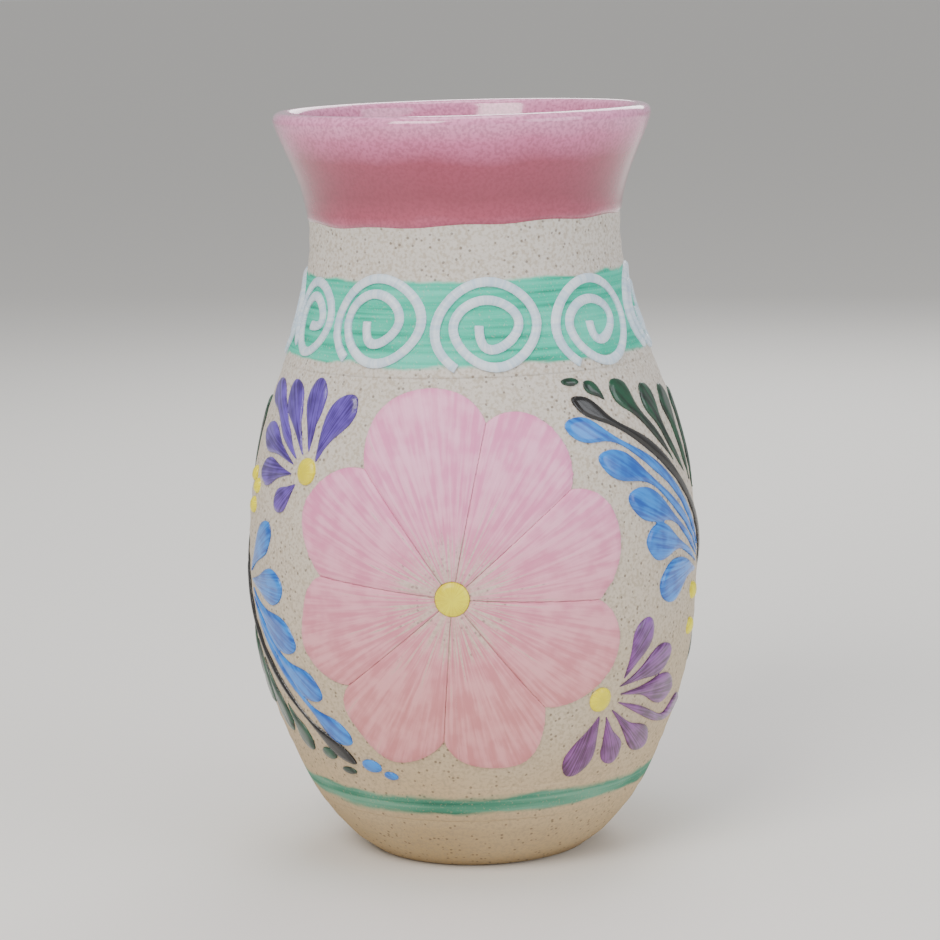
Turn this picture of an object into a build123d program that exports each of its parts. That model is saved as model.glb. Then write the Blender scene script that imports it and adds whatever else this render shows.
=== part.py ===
from build123d import *
import os
from math import cos, radians, sin

# A hand-painted pottery vase, in millimetres, +Z up, origin at the middle of its foot.
# The vase is a thrown clay body with a glaze poured inside and dipped over the rim, two
# brushed bands of colour, and a raised painting laid on with brush and slip trailer.
# Places on the wall are given as (azimuth, height): azimuth in degrees from the front
# (-Y), growing to the right as one faces the vase, and height in mm above the table.
# The painting is laid out for the front half and repeated on the back half.

# ---- driving dimensions -------------------------------------------------------------
HEIGHT = 250.0
GLAZE = 0.45  # thickness of the fired glaze
WASH = 0.2  # thickness of a brushed colour band
PETAL_COAT = 0.9
LEAF_COAT = 1.0
STEM_COAT = 1.2
SCROLL_COAT = 1.35
DOT_COAT = 1.8

FOOT_RADIUS = 36.6
FOOT_RECESS_RADIUS = 29.0
FOOT_RECESS_DEPTH = 2.0
FLOOR_TOP = 9.0
FLOOR_RADIUS = 32.0

LIP_ROUND = 2.4
LIP_CREST_RADIUS = 60.2
LIP_CENTRE_Z = HEIGHT - GLAZE - LIP_ROUND

GLAZE_EDGE = 214.0  # the dipped rim glaze ends here outside, and meets the liner at the lip
BELLY_REACH = 80.0  # wider than the belly, for windows on a section

SCROLL_BAND = (168.5, 198.5)
FOOT_BAND = (22.0, 31.5)
SCROLL_BEAD = 3.0

STAND_OFF = 95.0  # drawing planes stand this far out from the axis
SHELL_ARC = 170.0  # a coat is lifted off this much of the wall at a time

# Outside of the clay as (radius, height), from the bevel above the foot to the lip.
WALL = (
    (44.0, 5.4),
    (53.0, 16.0),
    (61.5, 32.0),
    (70.2, 55.0),
    (75.5, 90.0),
    (74.6, 120.0),
    (66.2, 155.0),
    (57.0, 180.0),
    (52.3, 202.0),
    (52.5, 218.0),
    (58.3, 236.0),
    (62.2, 246.0),
)
FOOT_SLOPE = (1.3, 1.0)
LIP_SLOPE = (0.4, 1.0)
FLOOR_SLOPE = (1.0, 0.1)

# Inside of the clay as (radius, height), from the floor to the lip.
INSIDE = (
    (50.0, 20.0),
    (64.0, 50.0),
    (69.6, 96.0),
    (60.6, 153.0),
    (47.2, 196.0),
    (46.8, 212.0),
    (52.8, 234.0),
)

# ---- the painting, as (azimuth, height) on the front half ----------------------------
FLOWER_CENTRE = (-5.4, 98.6)
FLOWER_CENTRE_RADIUS = 5.6

# Each petal runs clockwise from one notch, round its outer edge, to the next notch.
PETALS = (
    ((-28.6, 139.0), (-29.0, 149.0), (-25.5, 158.0), (-14.6, 164.0), (-1.5, 161.8)),
    ((4.4, 153.3), (13.3, 156.5), (22.5, 151.0), (26.9, 138.0)),
    ((25.9, 131.3), (34.5, 128.0), (38.7, 118.0), (37.6, 105.0)),
    ((32.0, 95.1), (36.6, 89.0), (38.3, 80.0), (35.0, 69.5), (25.5, 61.8)),
    ((17.7, 61.1), (17.5, 52.0), (13.5, 42.5), (4.4, 40.6), (-4.6, 43.2)),
    ((-9.2, 50.7), (-14.6, 45.0), (-25.5, 42.6), (-33.7, 52.0), (-37.0, 62.0)),
    ((-34.4, 68.3), (-41.5, 70.2), (-48.2, 79.0), (-47.4, 91.0), (-45.0, 99.5)),
    ((-41.0, 103.8), (-45.6, 112.5), (-47.4, 124.5), (-40.2, 136.0), (-33.7, 139.2)),
)

# A brush stroke is its path from the thin tail to the round head, and its width in mm
# at each point of the path after the tail.
UPPER_FAN_DOT = (-47.8, 136.4, 4.3, 4.3)
UPPER_FAN = (
    (((-44.9, 139.6), (-42.0, 148.8), (-37.2, 157.0)), (6.2, 9.8)),
    (((-48.0, 142.4), (-49.0, 152.0), (-49.6, 161.7)), (5.2, 8.4)),
    (((-50.0, 140.9), (-56.0, 151.2), (-61.8, 160.2)), (4.8, 8.6)),
    (((-52.6, 139.4), (-61.2, 148.0), (-69.5, 156.2), (-76.0, 159.4)), (4.4, 6.8, 8.0)),
    (((-53.6, 137.8), (-63.5, 142.4), (-72.5, 145.4)), (5.0, 8.4)),
    (((-53.6, 134.8), (-61.5, 134.6), (-69.0, 133.4)), (5.0, 8.6)),
    (((-51.6, 132.0), (-54.8, 128.8), (-58.2, 125.4)), (4.4, 8.0)),
)
LOWER_FAN_DOT = (33.5, 61.1, 4.1, 4.1)
LOWER_FAN = (
    (((40.6, 66.5), (44.2, 73.5), (47.6, 81.6)), (5.0, 9.2)),
    (((39.2, 64.2), (48.0, 67.4), (57.2, 71.2)), (5.0, 8.8)),
    (((39.4, 61.6), (50.0, 60.9), (61.5, 58.7)), (4.4, 9.2)),
    (((38.6, 59.4), (48.7, 54.3), (57.0, 49.9), (65.0, 47.7), (74.0, 51.0)), (2.6, 2.8, 3.2, 5.4)),
    (((37.6, 57.0), (46.0, 48.2), (55.6, 41.6)), (4.4, 7.4)),
    (((36.3, 54.6), (38.6, 47.5), (41.8, 40.4)), (4.2, 8.2)),
    (((34.0, 55.4), (31.8, 48.0), (29.0, 39.6)), (6.2, 10.2)),
)

UPPER_BLUE = (
    (((81.8, 101.8), (74.8, 112.0), (65.0, 125.2), (52.4, 137.2), (38.5, 146.4), (29.6, 149.8)),
     (2.2, 2.9, 3.2, 3.8, 7.2)),
    (((80.8, 100.0), (72.0, 110.6), (62.5, 120.8), (50.0, 132.0), (38.2, 138.3)),
     (2.2, 2.9, 4.2, 7.8)),
    (((79.7, 98.8), (70.5, 107.6), (60.5, 116.6), (46.2, 124.6)), (2.2, 3.0, 8.6)),
    (((78.6, 97.2), (70.8, 102.6), (62.0, 107.4), (52.6, 110.0)), (2.0, 4.2, 12.0)),
    (((77.4, 95.2), (68.0, 97.6), (57.8, 94.8)), (6.6, 13.0)),
)
UPPER_STEM = (
    (((97.0, 87.5), (90.0, 98.0), (80.8, 111.8), (67.4, 128.5), (50.9, 144.3), (39.7, 151.9),
      (32.0, 157.6)),
     (3.0, 3.2, 3.2, 3.2, 3.4, 4.6)),
)
UPPER_GREEN = (
    (((41.4, 157.3), (39.3, 159.9), (37.0, 162.0)), (3.0, 4.4)),
    (((67.4, 133.4), (58.5, 146.0), (52.0, 154.0), (48.3, 159.4)), (3.0, 5.0, 8.6)),
    (((74.4, 128.2), (68.2, 138.2), (63.6, 148.6), (61.2, 156.0)), (3.0, 5.0, 9.0)),
    (((79.4, 124.5), (76.2, 137.0), (74.8, 146.0), (73.8, 153.6)), (3.2, 5.5, 9.4)),
    (((84.0, 121.0), (85.8, 134.0), (87.2, 144.0), (88.4, 151.0)), (3.0, 5.0, 8.4)),
)
UPPER_GREEN_DOTS = ((30.5, 164.1, 2.7, 1.3),)

LOWER_BLUE = (
    (((-79.5, 97.6), (-72.0, 104.8), (-65.0, 113.6)), (4.4, 9.2)),
    (((-78.4, 95.4), (-69.0, 95.8), (-60.4, 96.4)), (6.2, 11.6)),
    (((-78.0, 92.8), (-66.5, 85.4), (-55.8, 79.4)), (5.2, 10.2)),
    (((-78.6, 90.4), (-67.0, 80.2), (-57.0, 70.4), (-47.6, 64.0)), (2.4, 4.0, 8.6)),
    (((-77.6, 89.4), (-66.8, 76.6), (-57.6, 65.8), (-48.0, 55.8), (-40.0, 49.4)),
     (2.2, 2.7, 3.2, 7.4)),
)
LOWER_BLUE_DOTS = ((-32.3, 39.7, 3.2, 2.3), (-26.4, 36.8, 2.0, 1.5))
LOWER_STEM = (
    (((-97.0, 108.5), (-90.0, 98.0), (-82.4, 87.2), (-73.8, 76.2), (-59.6, 60.0), (-49.8, 50.1),
      (-38.8, 40.4)),
     (3.0, 2.8, 2.4, 2.3, 2.3, 2.5)),
)
LOWER_GREEN = (
    (((-62.9, 56.4), (-60.0, 50.4), (-57.6, 44.6)), (4.5, 7.6)),
    (((-74.4, 69.6), (-70.0, 59.4), (-66.6, 49.8)), (4.6, 8.4)),
    (((-79.4, 74.6), (-77.6, 65.6), (-76.6, 57.4)), (4.8, 8.8)),
    (((-85.0, 79.0), (-86.4, 70.6), (-87.6, 62.4)), (4.6, 8.4)),
)
LOWER_GREEN_DOTS = ((-48.0, 41.7, 3.2, 2.1), (-41.6, 36.6, 2.7, 1.3))

LEFT_DOTS = ((-79.0, 131.0, 2.7, 2.6), (-74.5, 127.6, 2.6, 2.5), (-76.4, 121.0, 2.7, 2.8))
RIGHT_DOTS = ((74.1, 88.6, 3.0, 3.0), (73.0, 76.7, 3.0, 2.9))

# A slip-trailed scroll winds clockwise from a tail at its lower left. It is its centre
# and its reach in mm at each quarter turn: left, top, right, bottom, left and so on.
SCROLLS = (
    ((-63.8, 184.0), (12.0, 11.4, 11.4, 11.0, 7.4, 6.6, 6.8, 2.6)),
    ((-31.2, 184.4), (15.8, 13.6, 15.6, 12.9, 11.4, 8.6, 8.2, 7.0, 3.6)),
    ((7.4, 183.2), (17.4, 13.6, 15.4, 13.0, 11.8, 7.8, 9.4, 7.6, 3.6)),
    ((46.8, 182.2), (16.6, 13.4, 15.8, 12.9, 11.4, 6.8, 8.2, 6.2, 2.8)),
    ((84.9, 183.0), (15.6, 13.4, 14.8, 12.8, 11.4, 7.8, 8.6, 7.2, 3.2)),
)
SCROLL_TAIL_REACH = 1.02  # the tail stands this much further out than the first turn


# ---- construction helpers --------------------------------------------------------------
def wall_line(growth):
    """The outside line of the clay, moved outwards by a coat's thickness."""
    points = [(radius + growth, height) for radius, height in WALL]
    return Spline(*points, tangents=(FOOT_SLOPE, LIP_SLOPE))


def inside_line(growth):
    """The inside line of the clay from floor to lip, moved inwards by a coat's thickness."""
    return Spline(
        (FLOOR_RADIUS, FLOOR_TOP + growth),
        *[(radius - growth, height) for radius, height in INSIDE],
        (LIP_CREST_RADIUS - LIP_ROUND - growth, LIP_CENTRE_Z),
        tangents=(FLOOR_SLOPE, LIP_SLOPE),
    )


with BuildLine(Plane.XZ) as wall_gauge:
    wall_line(0)


def wall_radius(height):
    """Outside radius of the clay at a height, found by halving along the wall line."""
    line = wall_gauge.line
    low, high = 0.0, 1.0
    for _ in range(24):
        middle = (low + high) / 2
        if (line @ middle).Z < height:
            low = middle
        else:
            high = middle
    return (line @ low).X


def facing_plane(azimuth):
    """A plane that stands off the wall at an azimuth and faces away from the vase."""
    angle = radians(azimuth)
    outward = Vector(sin(angle), -cos(angle), 0)
    return Plane(origin=outward * STAND_OFF, x_dir=(cos(angle), sin(angle), 0), z_dir=outward)


def section_plane(azimuth):
    """The half plane through the axis at an azimuth: x is the radius, y the height."""
    angle = radians(azimuth)
    outward = Vector(sin(angle), -cos(angle), 0)
    return Plane(origin=(0, 0, 0), x_dir=outward, z_dir=(-cos(angle), -sin(angle), 0))


def spot(place, facing):
    """Where a place on the wall, (azimuth, height), falls on the plane of a facing."""
    azimuth, height = place
    return Vector(wall_radius(height) * sin(radians(azimuth - facing)), height)


def brush_outline(path, widths, facing):
    """One brush stroke: a pointed tail that swells along its path to a round head."""
    points = [spot(place, facing) for place in path]
    left, right = [], []
    for index, width in enumerate(widths, start=1):
        ahead = points[min(index + 1, len(points) - 1)]
        along = (ahead - points[index - 1]).normalized()
        aside = Vector(-along.Y, along.X) * (width / 2)
        left.append(points[index] + aside)
        right.append(points[index] - aside)
    tip = points[-1] + along * (widths[-1] / 2)
    tail = points[0]
    return Spline(tail, *left, tip, *reversed(right), tail, tangents=(left[0] - tail, tail - right[0]))


def petal_outline(petal, next_petal, facing):
    """One petal: its outer edge from notch to notch, and straight sides to the centre."""
    edge = [spot(place, facing) for place in (*petal, next_petal[0])]
    centre = spot(FLOWER_CENTRE, facing)
    Spline(*edge)
    Line(edge[-1], centre)
    Line(centre, edge[0])


def scroll_path(scroll, facing):
    """The middle line of a scroll: a short tail, then a spiral of quarter turns."""
    middle, reaches = scroll
    centre = spot(middle, facing)
    points = [
        centre + Vector(reaches[0], 0).rotate(Axis.Z, 180 - 90 * turn) * (reach / reaches[0])
        for turn, reach in enumerate(reaches)
    ]
    tail = centre + Vector(reaches[0] * SCROLL_TAIL_REACH, 0).rotate(Axis.Z, 180 + 48)
    return Spline(tail, *points)


def coat_outline(start, thickness):
    """Section of a coat over the wall, from start to start + thickness."""
    inner = wall_line(start)
    outer = wall_line(start + thickness)
    Line(inner @ 0, outer @ 0)
    Line(inner @ 1, outer @ 1)


def coat_shell(facing, start, thickness):
    """A coat over the side of the vase around a facing, from start to start + thickness."""
    with BuildPart() as shell:
        with BuildSketch(section_plane(facing - SHELL_ARC / 2)):
            with BuildLine():
                coat_outline(start, thickness)
            make_face()
        revolve(axis=Axis.Z, revolution_arc=SHELL_ARC)
    return shell.part


def finish(piece, label):
    """Label a finished piece and write it."""
    piece.label = label
    export_step(piece, f"parts/{label}.step")


def write_both_halves(piece, label):
    """Write a painted piece on the front half, and the same piece on the back half."""
    finish(piece, f"front_{label}")
    finish(Rot(0, 0, 180) * piece, f"back_{label}")


os.makedirs("parts", exist_ok=True)


# ---- clay body ----------------------------------------------------------------------------
def lip_crest(growth):
    """The top of the rounded lip, under a coat of some thickness."""
    return (LIP_CREST_RADIUS, LIP_CENTRE_Z + LIP_ROUND + growth)


def clay_outline(growth):
    """Closed section of the thrown clay, grown by a coat inside, outside and on the lip."""
    outside = wall_line(growth)
    inside = inside_line(growth)
    ThreePointArc(outside @ 1, lip_crest(growth), inside @ 1)
    Polyline(
        inside @ 0,
        (0, FLOOR_TOP + growth),
        (0, FOOT_RECESS_DEPTH),
        (FOOT_RECESS_RADIUS, FOOT_RECESS_DEPTH),
        (FOOT_RECESS_RADIUS + FOOT_RECESS_DEPTH, 0),
        (FOOT_RADIUS, 0),
        outside @ 0,
    )


with BuildPart() as vase_body:
    with BuildSketch(Plane.XZ) as clay_section:
        with BuildLine():
            clay_outline(0)
        make_face()
    revolve(axis=Axis.Z)
finish(vase_body.part, "vase_body")


# ---- glazes and colour bands ----------------------------------------------------------------
def keep_between(low, high):
    """Keep only the part of a section that lies between two heights."""
    with Locations((BELLY_REACH / 2, (low + high) / 2)):
        Rectangle(BELLY_REACH, high - low, mode=Mode.INTERSECT)


def lip_outline():
    """Section of the glaze over the rounded lip, from the wall outside to the wall inside."""
    outer_ends = []
    inner_ends = []
    for growth in (0, GLAZE):
        outer_ends.append((WALL[-1][0] + growth, WALL[-1][1]))
        inner_ends.append((LIP_CREST_RADIUS - LIP_ROUND - growth, LIP_CENTRE_Z))
        ThreePointArc(outer_ends[-1], lip_crest(growth), inner_ends[-1])
    Line(*outer_ends)
    Line(*inner_ends)


with BuildPart() as rim_glaze:
    with BuildSketch(Plane.XZ):
        with BuildLine():
            coat_outline(0, GLAZE)
        make_face()
        keep_between(GLAZE_EDGE, HEIGHT)
        with BuildLine():
            lip_outline()
        make_face()
    revolve(axis=Axis.Z)
finish(rim_glaze.part, "rim_glaze")

with BuildPart() as liner_glaze:
    with BuildSketch(Plane.XZ):
        with BuildLine():
            clay_face = inside_line(0)
            glaze_face = inside_line(GLAZE)
            Line(clay_face @ 1, glaze_face @ 1)
            Polyline(clay_face @ 0, (0, FLOOR_TOP), (0, FLOOR_TOP + GLAZE), glaze_face @ 0)
        make_face()
    revolve(axis=Axis.Z)
finish(liner_glaze.part, "liner_glaze")

for band_name, band in (("scroll_band", SCROLL_BAND), ("foot_band", FOOT_BAND)):
    with BuildPart() as colour_band:
        with BuildSketch(Plane.XZ):
            with BuildLine():
                coat_outline(0, WASH)
            make_face()
            keep_between(*band)
        revolve(axis=Axis.Z)
    finish(colour_band.part, band_name)


# ---- slip-trailed scrolls, five on the front and the same five on the back ----------------------
for number, scroll in enumerate(SCROLLS, start=1):
    facing = scroll[0][0]
    with BuildPart() as bead:
        with BuildSketch(facing_plane(facing)):
            with BuildLine():
                scroll_path(scroll, facing)
            trace(line_width=SCROLL_BEAD)
        extrude(amount=-STAND_OFF)
        add(coat_shell(facing, WASH, SCROLL_COAT - WASH), mode=Mode.INTERSECT)
    write_both_halves(bead.part, f"scroll_{number}")


# ---- the big flower: eight petals that meet along straight sides, and a raised centre ------------
def dot_outline(dot, facing):
    """One dot of paint: an ellipse at a place, with its half width and half height."""
    azimuth, height, half_width, half_height = dot
    with Locations(spot((azimuth, height), facing)):
        Ellipse(half_width, half_height)


flower_facing = FLOWER_CENTRE[0]
flower_dot = (*FLOWER_CENTRE, FLOWER_CENTRE_RADIUS, FLOWER_CENTRE_RADIUS)
for number, petal in enumerate(PETALS, start=1):
    with BuildPart() as painted_petal:
        with BuildSketch(facing_plane(flower_facing)):
            with BuildLine():
                petal_outline(petal, PETALS[number % len(PETALS)], flower_facing)
            make_face()
            with Locations(spot(FLOWER_CENTRE, flower_facing)):
                Circle(FLOWER_CENTRE_RADIUS, mode=Mode.SUBTRACT)
        extrude(amount=-STAND_OFF)
        add(coat_shell(flower_facing, 0, PETAL_COAT), mode=Mode.INTERSECT)
    write_both_halves(painted_petal.part, f"petal_{number}")


# ---- everything else that is painted: groups of strokes and dots of one colour --------------------
def painted_group(label, facing, strokes, dots, coat, cut_at_side=False):
    """Strokes and dots of one colour, lifted off the wall around one facing."""
    with BuildPart() as group:
        with BuildSketch(facing_plane(facing)):
            for path, widths in strokes:
                with BuildLine():
                    brush_outline(path, widths, facing)
                make_face()
            for dot in dots:
                dot_outline(dot, facing)
        extrude(amount=-STAND_OFF)
        add(coat_shell(facing, 0, coat), mode=Mode.INTERSECT)
        if cut_at_side:
            split(bisect_by=Plane.XZ, keep=Keep.TOP)
    write_both_halves(group.part, label)


painted_group("flower_centre", flower_facing, (), (flower_dot,), DOT_COAT)
painted_group("upper_fan", -55, UPPER_FAN, (), LEAF_COAT)
painted_group("upper_fan_dot", -48, (), (UPPER_FAN_DOT,), DOT_COAT)
painted_group("lower_fan", 45, LOWER_FAN, (), LEAF_COAT)
painted_group("lower_fan_dot", 34, (), (LOWER_FAN_DOT,), DOT_COAT)
painted_group("upper_blue_leaves", 55, UPPER_BLUE, (), LEAF_COAT)
painted_group("upper_stem", 62, UPPER_STEM, (), STEM_COAT, cut_at_side=True)
painted_group("upper_green_leaves", 62, UPPER_GREEN, UPPER_GREEN_DOTS, LEAF_COAT)
painted_group("lower_blue_leaves", -58, LOWER_BLUE, LOWER_BLUE_DOTS, LEAF_COAT)
painted_group("lower_stem", -66, LOWER_STEM, (), STEM_COAT, cut_at_side=True)
painted_group("lower_green_leaves", -66, LOWER_GREEN, LOWER_GREEN_DOTS, LEAF_COAT)
painted_group("left_dots", -77, (), LEFT_DOTS, DOT_COAT)
painted_group("right_dots", 74, (), RIGHT_DOTS, DOT_COAT)
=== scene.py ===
"""Looks of a hand-painted pottery vase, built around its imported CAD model, in metres."""
import logging
import math
from dataclasses import dataclass
from enum import Enum

import bpy
import numpy as np
from mathutils import Matrix, Vector, noise
from mathutils.kdtree import KDTree


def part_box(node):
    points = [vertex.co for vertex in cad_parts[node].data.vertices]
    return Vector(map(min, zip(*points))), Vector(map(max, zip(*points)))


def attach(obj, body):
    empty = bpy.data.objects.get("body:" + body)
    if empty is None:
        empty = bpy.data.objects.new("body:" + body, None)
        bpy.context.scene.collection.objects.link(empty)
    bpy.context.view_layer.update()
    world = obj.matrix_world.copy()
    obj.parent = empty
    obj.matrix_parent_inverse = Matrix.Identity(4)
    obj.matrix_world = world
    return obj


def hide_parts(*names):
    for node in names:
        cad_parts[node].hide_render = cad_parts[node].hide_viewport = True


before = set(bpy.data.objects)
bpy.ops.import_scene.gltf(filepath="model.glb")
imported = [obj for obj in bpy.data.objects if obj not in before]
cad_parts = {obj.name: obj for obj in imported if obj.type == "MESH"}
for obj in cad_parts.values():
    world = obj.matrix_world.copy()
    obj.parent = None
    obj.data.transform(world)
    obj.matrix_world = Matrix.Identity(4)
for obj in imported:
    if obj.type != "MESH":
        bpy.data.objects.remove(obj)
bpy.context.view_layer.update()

MM = 0.001
HALF_TURN = math.pi
log = logging.getLogger("vase")

# Outside and inside of the clay as (radius, height) in mm, from the foot to the lip.
OUTSIDE = (
    (44.0, 5.4), (53.0, 16.0), (61.5, 32.0), (70.2, 55.0), (75.5, 90.0), (74.6, 120.0),
    (66.2, 155.0), (57.0, 180.0), (52.3, 202.0), (52.5, 218.0), (58.3, 236.0), (62.2, 246.0),
)
LIP = ((62.45, 247.6), (61.7, 249.0), (60.2, 249.55), (58.6, 248.9))
INSIDE = (
    (57.8, 247.1), (52.8, 234.0), (46.8, 212.0), (47.2, 196.0), (60.6, 153.0), (69.6, 96.0),
    (64.0, 50.0), (50.0, 20.0), (41.5, 12.0), (32.0, 9.0),
)
BASE = ((0.0, 2.0), (29.0, 2.0), (31.0, 0.0), (36.0, 0.0), (37.4, 0.4))
TURNS = 288  # facets round the vase


def linear(code: str) -> tuple[float, float, float, float]:
    """Turn an sRGB hex colour into linear light.

    Args:
        code: Six hex digits.
    Returns:
        Linear red, green, blue and an alpha of one.
    """
    parts = [int(code[i:i + 2], 16) / 255 for i in (0, 2, 4)]
    return (*[p / 12.92 if p <= 0.04045 else ((p + 0.055) / 1.055) ** 2.4 for p in parts], 1.0)


def add_node(tree: bpy.types.NodeTree, kind: str, inputs: dict | None = None, **settings) -> bpy.types.Node:
    """Add a shader node with its settings and links.

    Args:
        tree: The material's node tree.
        kind: The node's type name without its ShaderNode prefix.
        inputs: Values, or output sockets to link from, by socket name or number.
        settings: Node properties by name.
    Returns:
        The new node.
    """
    made = tree.nodes.new("ShaderNode" + kind)
    for name, value in settings.items():
        setattr(made, name, value)
    for key, value in (inputs or {}).items():
        socket = made.inputs[key]
        if isinstance(value, bpy.types.NodeSocket):
            tree.links.new(value, socket)
        else:
            socket.default_value = value
    return made


def ramp(tree: bpy.types.NodeTree, factor: bpy.types.NodeSocket, stops: list) -> bpy.types.NodeSocket:
    """Add a colour ramp.

    Args:
        tree: The material's node tree.
        factor: The socket that drives the ramp.
        stops: Pairs of position and sRGB hex colour.
    Returns:
        The ramp's colour socket.
    """
    made = add_node(tree, "ValToRGB", {"Fac": factor})
    elements = made.color_ramp.elements
    while len(elements) < len(stops):
        elements.new(0.5)
    for element, (position, code) in zip(elements, stops):
        element.position = position
        element.color = linear(code)
    return made.outputs["Color"]


def mix(tree: bpy.types.NodeTree, factor, first, second, blend: str = "MIX") -> bpy.types.NodeSocket:
    """Mix two colours.

    Args:
        tree: The material's node tree.
        factor: Socket or number.
        first: Colour socket or linear colour.
        second: Colour socket or linear colour.
        blend: Blend type.
    Returns:
        The mixed colour socket.
    """
    made = add_node(tree, "Mix", data_type="RGBA", blend_type=blend)
    for index, value in ((0, factor), (6, first), (7, second)):
        if isinstance(value, bpy.types.NodeSocket):
            tree.links.new(value, made.inputs[index])
        else:
            made.inputs[index].default_value = value
    return made.outputs[2]


def span(tree: bpy.types.NodeTree, value, low: float, high: float,
         to_low: float = 0.0, to_high: float = 1.0) -> bpy.types.NodeSocket:
    """Map a value from one range to another, softly and clamped.

    Args:
        tree: The material's node tree.
        value: Socket to map.
        low: Value that gives to_low.
        high: Value that gives to_high.
        to_low: Result at low.
        to_high: Result at high.
    Returns:
        The mapped socket.
    """
    made = add_node(tree, "MapRange", {"Value": value, "From Min": low, "From Max": high,
                                       "To Min": to_low, "To Max": to_high},
                    interpolation_type="SMOOTHSTEP")
    return made.outputs["Result"]


def grain(tree: bpy.types.NodeTree, where, per_metre: float, detail: float = 2.0) -> bpy.types.NodeSocket:
    """Add an even noise of so many lumps per metre and return its factor socket."""
    return add_node(tree, "TexNoise", {"Vector": where, "Scale": per_metre, "Detail": detail}).outputs["Fac"]


def stretched(tree: bpy.types.NodeTree, where, scale: tuple) -> bpy.types.NodeSocket:
    """Stretch coordinates with a Mapping node and return its vector socket."""
    return add_node(tree, "Mapping", {"Vector": where, "Scale": scale}).outputs["Vector"]


@dataclass(frozen=True)
class Finish:
    """A surface finish: a name for the real stuff and a Principled shader."""

    name: str
    roughness: float = 0.5

    def start(self) -> tuple:
        """Make the material and return it with its tree, shader and object coordinates."""
        material = bpy.data.materials.new(self.name)
        material.use_nodes = True
        tree = material.node_tree
        shader = tree.nodes["Principled BSDF"]
        shader.inputs["Roughness"].default_value = self.roughness
        where = add_node(tree, "TexCoord").outputs["Object"]
        return material, tree, shader, where

    @staticmethod
    def bump(tree: bpy.types.NodeTree, shader: bpy.types.Node, height, depth: float,
             strength: float = 1.0) -> None:
        """Drive the shader's normal with a height socket, of the given depth in metres."""
        made = add_node(tree, "Bump", {"Height": height, "Distance": depth, "Strength": strength})
        tree.links.new(made.outputs["Normal"], shader.inputs["Normal"])


def clay_colour_and_bounce_light(tree: bpy.types.NodeTree, where) -> bpy.types.NodeSocket:
    """Colour of sandy bisque: tan at the foot, grey cream above, with dark grains of sand; the tan towards the
    foot is partly the clay's own tone and partly painted warm bounce light from below.

    Args:
        tree: The material's node tree.
        where: Object coordinates.
    Returns:
        The colour socket.
    """
    height = add_node(tree, "SeparateXYZ", {0: where}).outputs["Z"]
    uneven = grain(tree, where, 18, 3)
    shifted = add_node(tree, "Math", {0: uneven, 1: 0.05, 2: height}, operation="MULTIPLY_ADD").outputs[0]
    # Height ramp, warmer towards the foot: partly the clay's own tone, partly painted warm bounce light from
    # below.
    base = ramp(tree, add_node(tree, "Math", {0: shifted, 1: 4.0}, operation="MULTIPLY").outputs[0],
                [(0.08, "B79D74"), (0.22, "C9B28E"), (0.42, "D3C6B2"), (0.8, "D8D2CA")])
    soft = mix(tree, span(tree, grain(tree, where, 900, 2), 0.42, 0.66, 0.0, 0.5), base, linear("A8967C"))
    # Sand of about 0.5 mm, one grain in every few mm.
    specks = add_node(tree, "TexVoronoi", {"Vector": where, "Scale": 720.0}).outputs
    picked = span(tree, add_node(tree, "SeparateColor", {0: specks["Color"]}).outputs[0], 0.80, 0.84)
    round_speck = span(tree, specks["Distance"], 0.42, 0.25)
    both = add_node(tree, "Math", {0: picked, 1: round_speck}, operation="MULTIPLY").outputs[0]
    strength = add_node(tree, "Math", {0: both, 1: 0.62}, operation="MULTIPLY").outputs[0]
    return mix(tree, strength, soft, linear("5E5041"))


@dataclass(frozen=True)
class SandyBisque(Finish):
    """Unglazed low-fired clay: dry and matt, with sand grains that stand a little proud."""

    def material(self) -> bpy.types.Material:
        """Build the material."""
        material, tree, shader, where = self.start()
        tree.links.new(clay_colour_and_bounce_light(tree, where), shader.inputs["Base Color"])
        shader.inputs["Specular IOR Level"].default_value = 0.25
        self.bump(tree, shader, grain(tree, where, 1400, 3), 0.00022, 0.9)
        return material


@dataclass(frozen=True)
class BrushedWash(Finish):
    """Matt colour brushed round the turning vase: fine level lines, and clay at ragged edges."""

    low: float = 0.0
    high: float = 1.0
    light: str = "5ED8BD"
    middle: str = "2FC4A4"
    dark: str = "14987C"
    edge: float = 0.0016

    def material(self) -> bpy.types.Material:
        """Build the material."""
        material, tree, shader, where = self.start()
        lines = grain(tree, stretched(tree, where, (14, 14, 620)), 1.0, 4)
        patches = grain(tree, stretched(tree, where, (40, 40, 90)), 1.0, 2)
        both = add_node(tree, "Math", {0: lines, 1: 0.62, 2: add_node(
            tree, "Math", {0: patches, 1: 0.38}, operation="MULTIPLY").outputs[0]},
            operation="MULTIPLY_ADD").outputs[0]
        paint = ramp(tree, both, [(0.36, self.dark), (0.47, self.middle), (0.62, self.light)])
        height = add_node(tree, "SeparateXYZ", {0: where}).outputs["Z"]
        ragged = grain(tree, stretched(tree, where, (45, 45, 160)), 1.0, 3)
        wander = add_node(tree, "Math", {0: ragged, 1: 0.007, 2: -0.0035}, operation="MULTIPLY_ADD").outputs[0]
        moved = add_node(tree, "Math", {0: height, 1: wander}, operation="ADD").outputs[0]
        inner = span(tree, moved, self.low + 0.001, self.low + 0.001 + self.edge)
        outer = span(tree, moved, self.high - 0.001, self.high - 0.001 - self.edge)
        cover = add_node(tree, "Math", {0: inner, 1: outer}, operation="MULTIPLY").outputs[0]
        thin = span(tree, grain(tree, where, 1300, 2), 0.30, 0.42, 0.72, 1.0)
        cover = add_node(tree, "Math", {0: cover, 1: thin}, operation="MULTIPLY").outputs[0]
        tree.links.new(mix(tree, cover, clay_colour_and_bounce_light(tree, where), paint), shader.inputs["Base Color"])
        shader.inputs["Specular IOR Level"].default_value = 0.3
        self.bump(tree, shader, grain(tree, where, 1300, 3), 0.0002, 0.7)
        return material


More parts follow.
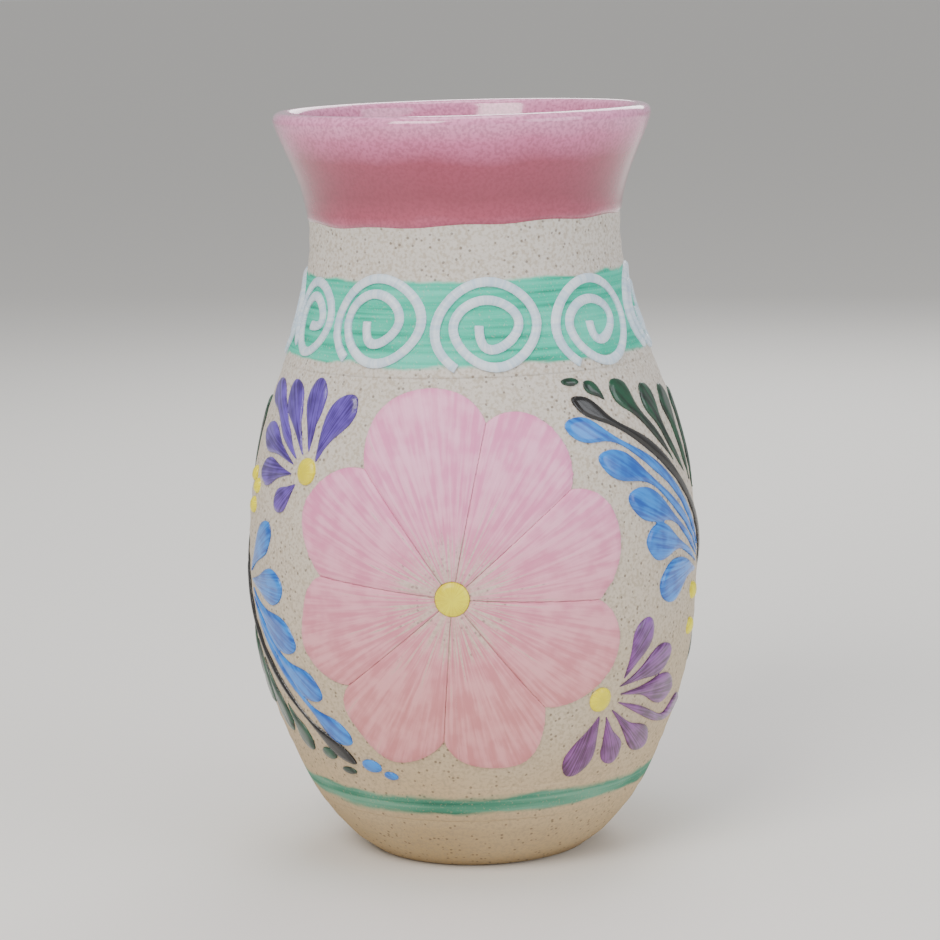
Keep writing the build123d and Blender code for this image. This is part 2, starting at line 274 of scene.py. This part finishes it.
@dataclass(frozen=True)
class PooledGlaze(Finish):
    """Clear tinted glaze, glassy and wet-looking, paler where it runs thin at its lower edge, with painted light
    on the upward-facing lip.
    """

    def material(self) -> bpy.types.Material:
        """Build the material."""
        material, tree, shader, where = self.start()
        height = add_node(tree, "SeparateXYZ", {0: where}).outputs["Z"]
        cloud = add_node(tree, "Math", {0: grain(tree, where, 60, 3), 1: 0.006, 2: height},
                         operation="MULTIPLY_ADD").outputs[0]
        level = span(tree, cloud, 0.214, 0.2545)
        # The pale pink at the top of the ramp, over the lip, is painted light where the lip's roundover faces up.
        glaze_tone_and_lip_light = ramp(tree, level, [(0.0, "C65C7E"), (0.07, "A8405C"), (0.22, "96364F"),
                                   (0.62, "A33C5A"), (0.86, "D7709F"), (1.0, "F3A0CC")])
        deep = mix(tree, span(tree, grain(tree, where, 900, 2), 0.40, 0.64, 0.0, 0.35), glaze_tone_and_lip_light,
                   linear("7E2840"))
        tree.links.new(deep, shader.inputs["Base Color"])
        shader.inputs["Coat Weight"].default_value = 0.8
        shader.inputs["Coat Roughness"].default_value = 0.06
        self.bump(tree, shader, grain(tree, where, 170, 2), 0.00025, 0.45)
        return material


@dataclass(frozen=True)
class BrushedEnamel(Finish):
    """Thick low-fired paint laid with a loaded brush: streaks along the stroke, dark pools."""

    light: str = "F7A0CB"
    dark: str = "E07EAE"
    # Colours near the foot: warmer, partly the paint's own tone and partly painted warm bounce light from below.
    foot_tone_bounce_pale: str = ""
    foot_tone_bounce_deep: str = ""
    gloss: float = 0.3
    bare: float = 0.0
    streaks: float = 900.0

    def material(self) -> bpy.types.Material:
        """Build the material."""
        material, tree, shader, where = self.start()
        brushed = add_node(tree, "UVMap", uv_map="stroke").outputs["UV"]
        lines = grain(tree, stretched(tree, brushed, (self.streaks, 45, 1)), 1.0, 3)
        pools = grain(tree, where, 150, 2)
        both = add_node(tree, "Math", {0: lines, 1: 0.6, 2: add_node(
            tree, "Math", {0: pools, 1: 0.4}, operation="MULTIPLY").outputs[0]},
            operation="MULTIPLY_ADD").outputs[0]
        tone = span(tree, both, 0.38, 0.62)
        colour = mix(tree, tone, linear(self.dark), linear(self.light))
        # Warmer towards the foot below about 150 mm: partly the paint's own tone, partly painted warm bounce light
        # from below.
        if self.foot_tone_bounce_pale:
            height = add_node(tree, "SeparateXYZ", {0: where}).outputs["Z"]
            low = mix(tree, tone, linear(self.foot_tone_bounce_deep), linear(self.foot_tone_bounce_pale))
            colour = mix(tree, span(tree, height, 0.055, 0.150), low, colour)
        if self.bare:
            reach = add_node(tree, "SeparateXYZ", {0: brushed}).outputs["Y"]
            near = span(tree, reach, 0.004, 0.040, self.bare, 0.0)
            worn = add_node(tree, "Math", {0: near, 1: lines}, operation="ADD").outputs[0]
            shown = span(tree, worn, 0.66, 0.84, 0.0, 0.8)
            colour = mix(tree, shown, colour, clay_colour_and_bounce_light(tree, where))
        tree.links.new(colour, shader.inputs["Base Color"])
        shader.inputs["Coat Weight"].default_value = self.gloss
        shader.inputs["Coat Roughness"].default_value = 0.18
        self.bump(tree, shader, lines, 0.0003, 0.55)
        return material


class Paint(Enum):
    """The finishes, by the record's material slot."""

    bisque_clay = SandyBisque("low_fired_sandy_bisque", 0.92)
    teal_wash = BrushedWash("brushed_teal_wash", 0.8, 0.1685, 0.1985)
    green_wash = BrushedWash("brushed_green_wash", 0.85, 0.022, 0.0315, "6FA58B", "4A8A70", "34705A", 0.0022)
    raspberry_glaze = PooledGlaze("raspberry_glaze", 0.14)
    white_slip = BrushedEnamel("trailed_white_slip", 0.42, "E2EEF8", "C3D9EC", gloss=0.25, streaks=300)
    # The pink paint turns salmon near the foot, partly painted warm bounce light from below.
    pink_enamel = BrushedEnamel("brushed_pink_enamel", 0.55, "FFB6D8", "EE8DBE", "EBA3A6", "D58588",
                                gloss=0.12, bare=0.30, streaks=700)
    yellow_enamel = BrushedEnamel("thick_yellow_enamel", 0.38, "FAF01E", "E6D400", gloss=0.3, streaks=300)
    # The purple paint turns redder near the foot, partly painted warm bounce light from below.
    purple_enamel = BrushedEnamel("brushed_purple_enamel", 0.34, "6A4FC0", "3A2072", "8A4A96", "4A1848",
                                  gloss=0.5)
    blue_enamel = BrushedEnamel("brushed_blue_enamel", 0.32, "1C8CEC", "0453B4", gloss=0.5)
    green_enamel = BrushedEnamel("thick_dark_green_enamel", 0.3, "0C4A30", "04180F", gloss=0.5)
    black_enamel = BrushedEnamel("black_enamel", 0.26, "14100F", "050404", gloss=0.5)


MATERIALS: dict[str, bpy.types.Material] = {}


def dress(piece: bpy.types.Object, slot: str, nodes: tuple[str, ...]) -> None:
    """Give a piece its finish, put it on the body and hide the CAD nodes it stands for.

    Args:
        piece: The finished piece.
        slot: The record's material slot.
        nodes: CAD nodes that the piece replaces.
    """
    if slot not in MATERIALS:
        MATERIALS[slot] = Paint[slot].value.material()
    piece.data.materials.clear()
    piece.data.materials.append(MATERIALS[slot])
    for face in piece.data.polygons:
        face.use_smooth = True
    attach(piece, "root")
    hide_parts(*nodes)
    log.info("%s: %d faces", piece.name, len(piece.data.polygons))


def curve_through(points: tuple, steps: int) -> np.ndarray:
    """Sample the smooth curve through a few points, by chord length.

    Args:
        points: (radius, height) pairs in mm.
        steps: Samples on each span.
    Returns:
        The samples, in metres.
    """
    p = np.array(points, float)
    chord = np.hypot(*np.diff(p, axis=0).T)
    t = np.concatenate([[0], np.cumsum(chord)])
    n = len(p)
    matrix = np.eye(n)
    right = np.zeros((n, 2))
    for i in range(1, n - 1):
        matrix[i, i - 1:i + 2] = chord[i - 1], 2 * (chord[i - 1] + chord[i]), chord[i]
        right[i] = 6 * ((p[i + 1] - p[i]) / chord[i] - (p[i] - p[i - 1]) / chord[i - 1])
    bend = np.linalg.solve(matrix, right)
    found = []
    for i in range(n - 1):
        for k in range(steps):
            s = k / steps * chord[i]
            e = chord[i] - s
            a, b = bend[i], bend[i + 1]
            found.append((a * e**3 + b * s**3) / (6 * chord[i])
                         + (p[i] / chord[i] - a * chord[i] / 6) * e + (p[i + 1] / chord[i] - b * chord[i] / 6) * s)
    found.append(p[-1])
    return np.array(found) * MM


WALL_LINE = curve_through(OUTSIDE, 24)


def wall_radius(height: np.ndarray) -> np.ndarray:
    """Outside radius of the clay at some heights, in metres."""
    return np.interp(height, WALL_LINE[:, 1], WALL_LINE[:, 0])


def lathe(name: str, outline: np.ndarray, closed: bool) -> bpy.types.Object:
    """Throw a piece on the wheel: spin its outline a full turn about the axis.

    Args:
        name: The piece's name.
        outline: (radius, height) points in metres.
        closed: Whether the outline's last point joins its first.
    Returns:
        The spun piece.
    """
    count = len(outline)
    mesh = bpy.data.meshes.new(name)
    edges = [(i, i + 1) for i in range(count - 1)] + ([(count - 1, 0)] if closed else [])
    # The seam stands at the back.
    mesh.from_pydata([(0.0, r, z) for r, z in outline], edges, [])
    piece = bpy.data.objects.new(name, mesh)
    bpy.context.collection.objects.link(piece)
    bpy.ops.object.select_all(action="DESELECT")
    piece.select_set(True)
    bpy.context.view_layer.objects.active = piece
    bpy.ops.object.mode_set(mode="EDIT")
    bpy.ops.mesh.select_all(action="SELECT")
    bpy.ops.mesh.spin(steps=TURNS, angle=2 * math.pi, center=(0, 0, 0), axis=(0, 0, 1))
    bpy.ops.mesh.select_all(action="SELECT")
    bpy.ops.mesh.remove_doubles(threshold=1e-6)
    bpy.ops.mesh.select_all(action="SELECT")
    bpy.ops.mesh.normals_make_consistent(inside=False)
    bpy.ops.object.mode_set(mode="OBJECT")
    return piece


def points_of(mesh: bpy.types.Mesh) -> np.ndarray:
    """The places of a mesh's vertices, one row each."""
    flat = np.empty(len(mesh.vertices) * 3)
    mesh.vertices.foreach_get("co", flat)
    return flat.reshape(-1, 3)


def put_points(mesh: bpy.types.Mesh, points: np.ndarray) -> None:
    """Write the places of a mesh's vertices."""
    mesh.vertices.foreach_set("co", points.ravel())
    mesh.update()


@dataclass
class ThrownVase:
    """The clay body, its glaze and its two brushed bands."""

    glaze: float = 0.45
    wash: float = 0.12
    glaze_edge: float = 214.0
    edge_roll: float = 0.35

    def clay(self) -> None:
        """The thrown body: foot, belly, neck, rounded lip and the inside."""
        wall = curve_through(OUTSIDE + LIP + INSIDE, 9)
        base = np.array(BASE) * MM
        outline = np.vstack([base, wall, [(0.0, 9.0 * MM)]])
        piece = lathe("clay_body", outline, closed=False)
        points = points_of(piece.data)
        angle = np.arctan2(points[:, 1], points[:, 0])
        # Faint throwing rings and an uneven turn of the hand, well under half a millimetre.
        sway = 0.00012 * np.sin(points[:, 2] * 900 + angle) * (points[:, 2] > 0.012)
        points[:, 0] += sway * np.cos(angle)
        points[:, 1] += sway * np.sin(angle)
        put_points(piece.data, points)
        dress(piece, "bisque_clay", ("vase_body",))

    def coat(self, name: str, path: np.ndarray, slot: str, nodes: tuple, thick: float) -> bpy.types.Object:
        """A skin of glaze over a stretch of the clay's outline, with rolled ends.

        Args:
            name: The piece's name.
            path: The stretch of outline, in metres, with the clay on its left.
            slot: Material slot.
            nodes: CAD nodes it stands for.
            thick: Thickness in mm.
        Returns:
            The piece.
        """
        along = np.gradient(path, axis=0)
        along /= np.linalg.norm(along, axis=1)[:, None]
        out = np.column_stack([along[:, 1], -along[:, 0]])
        run = np.concatenate([[0], np.cumsum(np.linalg.norm(np.diff(path, axis=0), axis=1))])
        roll = np.minimum(1.0, np.minimum(run, run[-1] - run) / (2.2 * MM))
        grown = path + out * (thick * MM * np.sqrt(1 - (1 - roll) ** 2))[:, None]
        sunk = path - out * (0.2 * MM)
        piece = lathe(name, np.vstack([grown, sunk[::-1]]), closed=True)
        if slot == "raspberry_glaze":
            points = points_of(piece.data)
            angle = np.arctan2(points[:, 0], -points[:, 1])
            low = np.clip(1 - (points[:, 2] - self.glaze_edge * MM) / 0.012, 0, 1)
            outside = np.hypot(points[:, 0], points[:, 1]) > 0.0508
            wave = 0.9 * np.sin(angle) + 0.5 * np.sin(3 * angle + 0.8) + 0.35 * np.sin(11 * angle + 2)
            points[:, 2] += low * outside * wave * MM
            points[:, :2] *= (1 + low * outside * (wall_radius(points[:, 2])
                              / wall_radius(points[:, 2] - low * wave * MM) - 1))[:, None]
            put_points(piece.data, points)
        dress(piece, slot, nodes)
        return piece

    def build(self) -> None:
        """Build the body, the glazes and the bands."""
        self.clay()
        wall = curve_through(OUTSIDE + LIP + INSIDE, 9)
        rim_low = self.glaze_edge * MM
        top = int(np.argmax(wall[:, 1]))
        first = int(np.argmax(wall[:top, 1] >= rim_low))
        last = top + int(np.argmax(wall[top:, 1] < rim_low))
        self.coat("rim_glaze_coat", wall[first:last], "raspberry_glaze", ("rim_glaze",), self.glaze)
        floor = np.vstack([wall[last - 1:], [(0.0001, 9.0 * MM)]])
        self.coat("liner_glaze_coat", floor, "raspberry_glaze", ("liner_glaze",), self.glaze)
        for node, slot in (("scroll_band", "teal_wash"), ("foot_band", "green_wash")):
            low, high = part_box(node)
            heights = np.linspace(low[2] - 1.5 * MM, high[2] + 1.5 * MM, 40)
            path = np.column_stack([wall_radius(heights), heights])
            self.coat(node + "_wash", path, slot, (node,), self.wash)


@dataclass
class RaisedPaint:
    """A group of painted strokes that stands proud of the clay, domed over its outline."""

    node: str
    slot: str
    coat: float = 1.0
    shoulder: float = 1.8
    voxel: float = 0.34
    floor: float = 0.0
    fan_centre: tuple[float, float, float] | None = None
    ridge: float = 0.08
    ridge_count: float = 26.0

    def outline(self, mesh: bpy.types.Mesh) -> KDTree:
        """Gather the outline of the CAD solid's outer face, sampled every third of a mm.

        Args:
            mesh: The merged copy of the CAD mesh.
        Returns:
            A tree of the outline's points, dropped on the wall.
        """
        points = points_of(mesh)
        facing: dict[tuple[int, int], list[float]] = {}
        for face in mesh.polygons:
            middle = face.center
            outward = face.normal.dot(Vector((middle.x, middle.y, 0)).normalized())
            for key in face.edge_keys:
                facing.setdefault(key, []).append(outward)
        found = []
        for (a, b), sides in facing.items():
            if len(sides) == 2 and max(sides) > 0.6 and min(sides) < 0.55 and max(sides) - min(sides) > 0.2:
                steps = max(1, int(np.linalg.norm(points[a] - points[b]) / (0.3 * MM)))
                found += [points[a] + (points[b] - points[a]) * k / steps for k in range(steps + 1)]
        dropped = self.drop(np.array(found))
        tree = KDTree(len(dropped))
        for index, point in enumerate(dropped):
            tree.insert(point, index)
        tree.balance()
        return tree

    @staticmethod
    def drop(points: np.ndarray) -> np.ndarray:
        """Move points straight in or out on to the clay's wall."""
        scale = wall_radius(points[:, 2]) / np.hypot(points[:, 0], points[:, 1])
        return np.column_stack([points[:, 0] * scale, points[:, 1] * scale, points[:, 2]])

    def build(self, name: str) -> bpy.types.Object:
        """Build the raised group from a copy of its CAD node.

        Args:
            name: The piece's name.
        Returns:
            The piece.
        """
        piece = bpy.data.objects.new(name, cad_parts[self.node].data.copy())
        bpy.context.collection.objects.link(piece)
        bpy.ops.object.select_all(action="DESELECT")
        piece.select_set(True)
        bpy.context.view_layer.objects.active = piece
        bpy.ops.object.mode_set(mode="EDIT")
        bpy.ops.mesh.select_all(action="SELECT")
        bpy.ops.mesh.remove_doubles(threshold=2e-6)
        bpy.ops.object.mode_set(mode="OBJECT")
        tree = self.outline(piece.data)
        remesh = piece.modifiers.new("even", "REMESH")
        remesh.mode = "VOXEL"
        remesh.voxel_size = self.voxel * MM
        bpy.ops.object.modifier_apply(modifier=remesh.name)
        mesh = piece.data
        points = points_of(mesh)
        normals = np.array([v.normal for v in mesh.vertices])
        radial = points[:, :2] / np.linalg.norm(points[:, :2], axis=1)[:, None]
        faces_out = (normals[:, :2] * radial).sum(axis=1)
        dropped = self.drop(points)
        inset = np.array([tree.find(p)[2] for p in dropped]) / MM
        rise = np.clip(inset / self.shoulder, 0, 1)
        height = self.coat * np.sqrt(1 - (1 - rise) ** 2)
        polar = self.polar(dropped)
        lines = np.array([noise.noise((a * self.ridge_count, r * 30, 3.1)) for a, r in polar])
        lumps = np.array([noise.noise(Vector(p) * 260) for p in dropped])
        height += (self.ridge * lines + 0.05 * lumps) * rise
        top = faces_out > 0.25
        height = np.where(top, self.floor + height, -0.25)
        height = self.relax(mesh, height, top)
        radius = wall_radius(points[:, 2]) + height * MM
        points[:, :2] = radial * radius[:, None]
        put_points(mesh, points)
        layer = mesh.uv_layers.new(name="stroke")
        corners = np.empty(len(mesh.loops), int)
        mesh.loops.foreach_get("vertex_index", corners)
        flat = np.column_stack([polar[:, 0] * 0.04, polar[:, 1]])[corners]
        layer.data.foreach_set("uv", flat.ravel())
        return piece

    @staticmethod
    def relax(mesh: bpy.types.Mesh, height: np.ndarray, top: np.ndarray) -> np.ndarray:
        """Smooth the heights a little between neighbours, as wet paint does.

        Args:
            mesh: The mesh whose edges join neighbours.
            height: Height of each vertex in mm.
            top: Which vertices belong to the painted face.
        Returns:
            The smoothed heights.
        """
        ends = np.array([e.vertices[:] for e in mesh.edges])
        ends = ends[top[ends[:, 0]] & top[ends[:, 1]]]
        for _ in range(3):
            total = height.copy()
            count = np.ones(len(height))
            for a, b in ((0, 1), (1, 0)):
                np.add.at(total, ends[:, a], height[ends[:, b]])
                np.add.at(count, ends[:, a], 1)
            height = np.where(top, total / count, height)
        return height

    def polar(self, points: np.ndarray) -> np.ndarray:
        """Angle and distance of points about the place that the strokes radiate from.

        Args:
            points: Points on the wall.
        Returns:
            Angle in radians and distance in metres, one row each.
        """
        if self.fan_centre is None:
            low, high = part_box(self.node)
            middle = (np.array(low) + np.array(high)) / 2
        else:
            middle = np.array(self.fan_centre)
        azimuth = np.arctan2(points[:, 0], -points[:, 1])
        own = math.atan2(middle[0], -middle[1])
        across = (azimuth - own) * wall_radius(points[:, 2])
        up = points[:, 2] - middle[2]
        return np.column_stack([np.arctan2(across, up), np.hypot(across, up)])


def half_turned(piece: bpy.types.Object, name: str) -> bpy.types.Object:
    """Copy a piece, with its own mesh, half a turn round the vase."""
    twin = bpy.data.objects.new(name, piece.data.copy())
    bpy.context.collection.objects.link(twin)
    twin.data.transform(Matrix.Rotation(HALF_TURN, 4, "Z"))
    return twin


@dataclass
class Painting:
    """The whole raised painting: the front half, and the same again on the back half."""

    petals: int = 8
    scrolls: int = 5

    def layout(self) -> list[RaisedPaint]:
        """List the painted groups of one half."""
        flower = tuple(np.mean(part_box("front_flower_centre"), axis=0))
        upper = tuple(np.mean(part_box("front_upper_fan_dot"), axis=0))
        lower = tuple(np.mean(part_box("front_lower_fan_dot"), axis=0))
        right_end = (0.0755, -0.0105, 0.100)
        left_end = (-0.0755, -0.0105, 0.096)
        groups = [RaisedPaint(f"petal_{n}", "pink_enamel", 0.95, 2.4, 0.42, 0.0, flower, 0.17, 34.0)
                  for n in range(1, self.petals + 1)]
        groups += [RaisedPaint(f"scroll_{n}", "white_slip", 1.3, 1.5, 0.3, 0.1, None, 0.0)
                   for n in range(1, self.scrolls + 1)]
        groups += [
            RaisedPaint("flower_centre", "yellow_enamel", 1.7, 3.2, 0.3),
            RaisedPaint("upper_fan_dot", "yellow_enamel", 1.7, 2.8, 0.3),
            RaisedPaint("lower_fan_dot", "yellow_enamel", 1.7, 2.8, 0.3),
            RaisedPaint("left_dots", "yellow_enamel", 1.6, 2.2, 0.3),
            RaisedPaint("right_dots", "yellow_enamel", 1.6, 2.2, 0.3),
            RaisedPaint("upper_fan", "purple_enamel", 1.0, 1.9, 0.33, 0.0, upper, 0.14, 22.0),
            RaisedPaint("lower_fan", "purple_enamel", 1.0, 1.9, 0.33, 0.0, lower, 0.14, 22.0),
            RaisedPaint("upper_blue_leaves", "blue_enamel", 1.0, 1.9, 0.34, 0.0, right_end, 0.14, 30.0),
            RaisedPaint("lower_blue_leaves", "blue_enamel", 1.0, 1.9, 0.34, 0.0, left_end, 0.14, 30.0),
            RaisedPaint("upper_green_leaves", "green_enamel", 1.0, 1.8, 0.34, 0.0, right_end, 0.12, 26.0),
            RaisedPaint("lower_green_leaves", "green_enamel", 1.0, 1.8, 0.34, 0.0, left_end, 0.12, 26.0),
            RaisedPaint("upper_stem", "black_enamel", 1.1, 1.6, 0.32, 0.0, right_end, 0.05),
            RaisedPaint("lower_stem", "black_enamel", 1.1, 1.3, 0.32, 0.0, left_end, 0.05),
        ]
        return groups

    def build(self) -> None:
        """Build each group on the front and its twin on the back."""
        for group in self.layout():
            plain = group.node
            group.node = f"front_{plain}"
            front = group.build(f"painted_front_{plain}")
            back = half_turned(front, f"painted_back_{plain}")
            dress(front, group.slot, (f"front_{plain}",))
            dress(back, group.slot, (f"back_{plain}",))


@dataclass
class Studio:
    """Pale floor, soft lights and the camera."""

    floor_size: float = 90.0
    lens: float = 118.8
    camera_place: tuple[float, float, float] = (-0.0004, -1.0373, 0.2956)
    tilt: float = 80.805
    lean: float = -1.532

    def light(self, name: str, place: tuple, size: float, power: float, tint: str = "FFFFFF") -> None:
        """Hang one soft square light that faces the middle of the vase."""
        lamp = bpy.data.lights.new(name, "AREA")
        lamp.size = size
        lamp.energy = power
        lamp.color = linear(tint)[:3]
        holder = bpy.data.objects.new(name, lamp)
        holder.location = place
        aim = Vector((0, 0, 0.14)) - Vector(place)
        holder.rotation_euler = aim.to_track_quat("-Z", "Y").to_euler()
        bpy.context.collection.objects.link(holder)

    def build(self) -> None:
        """Lay the floor, hang the lights and stand the camera."""
        bpy.ops.mesh.primitive_plane_add(size=self.floor_size, location=(0, 0, 0))
        floor = bpy.context.object
        floor.name = "studio_floor"
        paper = bpy.data.materials.new("matt_studio_paper")
        paper.use_nodes = True
        shader = paper.node_tree.nodes["Principled BSDF"]
        shader.inputs["Base Color"].default_value = linear("ECEAE6")
        shader.inputs["Roughness"].default_value = 0.9
        floor.data.materials.append(paper)
        self.light("key_light", (-0.55, -0.95, 1.05), 0.7, 15.0, "FFFAF4")
        self.light("fill_light", (1.1, -0.7, 0.55), 0.9, 7.0, "F6F9FF")
        self.light("back_light", (0.3, 1.1, 0.9), 0.8, 8.0)
        self.light("top_light", (0.0, 0.0, 1.5), 0.8, 6.0)
        world = bpy.data.worlds.new("studio_air")
        world.use_nodes = True
        world.node_tree.nodes["Background"].inputs["Color"].default_value = linear("F4F4F4")
        world.node_tree.nodes["Background"].inputs["Strength"].default_value = 0.55
        bpy.context.scene.world = world
        camera = bpy.data.objects.new("camera", bpy.data.cameras.new("camera"))
        camera.data.lens = self.lens
        camera.data.clip_end = 200.0
        turn = Matrix.Rotation(math.radians(self.tilt), 4, "X") @ Matrix.Rotation(math.radians(self.lean), 4, "Z")
        camera.matrix_world = Matrix.Translation(self.camera_place) @ turn
        bpy.context.collection.objects.link(camera)
        bpy.context.scene.camera = camera


def main() -> None:
    """Build the vase, its painting and the studio."""
    logging.basicConfig(level=logging.INFO, format="%(name)s %(message)s")
    Studio().build()
    ThrownVase().build()
    Painting().build()


if __name__ == "__main__":
    main()
